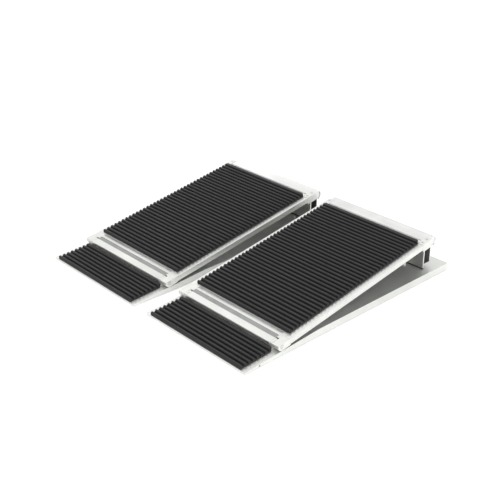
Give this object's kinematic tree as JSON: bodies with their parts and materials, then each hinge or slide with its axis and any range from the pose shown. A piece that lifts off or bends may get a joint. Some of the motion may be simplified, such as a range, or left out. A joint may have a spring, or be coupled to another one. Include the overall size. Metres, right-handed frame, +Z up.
{
  "type": "portable wheelchair ramp",
  "caption": "Portable two-track wheelchair ramp: low base trays with ribbed rubber decks, hinged near the front and held up at the rear by a fold-away leg.",
  "frame": {"origin": "on the floor, under the middle of the two tracks' common bounding box", "axes": "+X across the ramp towards the right track, +Y up the ramp in the direction of travel, +Z up"},
  "size_m": [0.643, 0.61, 0.1016],
  "materials": {
    "clear_aluminium": "clear-anodised satin",
    "mill_aluminium": "mill finish",
    "grey_insert": "fine gritted",
    "mat_rubber": "ribbed matt",
    "grip_rubber": "matt",
    "steel": "zinc plated",
    "pale_plastic": "moulded"
  },
  "bodies": {
    "left_base": {"left_base_pan": "clear_aluminium", "left_base_stiffeners": "mill_aluminium", "left_grip_strips": "grip_rubber", "left_approach_mat": "mat_rubber", "left_hinge_lugs": "clear_aluminium", "left_lug_screws": "steel", "left_rest_studs": "pale_plastic", "left_side_bush": "grip_rubber"},
    "left_deck": {"left_deck_panel": "mill_aluminium", "left_deck_stiffeners": "mill_aluminium", "left_inner_rail": "clear_aluminium", "left_outer_rail": "clear_aluminium", "left_front_profile": "clear_aluminium", "left_channel_insert": "grey_insert", "left_inner_end_block": "clear_aluminium", "left_outer_end_block": "clear_aluminium", "left_hinge_pins": "steel", "left_rear_profile": "clear_aluminium", "left_inner_corner_block": "clear_aluminium", "left_outer_corner_block": "clear_aluminium", "left_corner_screws": "steel", "left_panel_rivets": "steel", "left_deck_mat": "mat_rubber", "left_leg_ears": "mill_aluminium"},
    "left_leg": {"left_leg_tube": "clear_aluminium", "left_leg_arms": "mill_aluminium", "left_leg_pin": "steel", "left_leg_foot": "grip_rubber"},
    "right_base": {"right_base_pan": "clear_aluminium", "right_base_stiffeners": "mill_aluminium", "right_grip_strips": "grip_rubber", "right_approach_mat": "mat_rubber", "right_hinge_lugs": "clear_aluminium", "right_lug_screws": "steel", "right_rest_studs": "pale_plastic", "right_side_bush": "grip_rubber"},
    "right_deck": {"right_deck_panel": "mill_aluminium", "right_deck_stiffeners": "mill_aluminium", "right_inner_rail": "clear_aluminium", "right_outer_rail": "clear_aluminium", "right_front_profile": "clear_aluminium", "right_channel_insert": "grey_insert", "right_inner_end_block": "clear_aluminium", "right_outer_end_block": "clear_aluminium", "right_hinge_pins": "steel", "right_rear_profile": "clear_aluminium", "right_inner_corner_block": "clear_aluminium", "right_outer_corner_block": "clear_aluminium", "right_corner_screws": "steel", "right_panel_rivets": "steel", "right_deck_mat": "mat_rubber", "right_leg_ears": "mill_aluminium"},
    "right_leg": {"right_leg_tube": "clear_aluminium", "right_leg_arms": "mill_aluminium", "right_leg_pin": "steel", "right_leg_foot": "grip_rubber"}
  },
  "joints": [
    {"name": "track_spacing", "type": "slide", "parent": "left_base", "child": "right_base", "axis": [1, 0, 0], "range_m": [0, 0.2]},
    {"name": "left_deck_hinge", "type": "hinge", "parent": "left_base", "child": "left_deck", "pos_m": [-0.1715, -0.21, 0.0212], "axis": [1, 0, 0], "range_deg": [0, 85]},
    {"name": "left_leg_fold", "type": "hinge", "parent": "left_deck", "child": "left_leg", "pos_m": [-0.1715, 0.251, 0.08395], "axis": [-1, 0, 0], "range_deg": [0, 78]},
    {"name": "right_deck_hinge", "type": "hinge", "parent": "right_base", "child": "right_deck", "pos_m": [0.1715, -0.21, 0.0212], "axis": [1, 0, 0], "range_deg": [0, 85]},
    {"name": "right_leg_fold", "type": "hinge", "parent": "right_deck", "child": "right_leg", "pos_m": [0.1715, 0.251, 0.08395], "axis": [-1, 0, 0], "range_deg": [0, 78]}
  ]
}
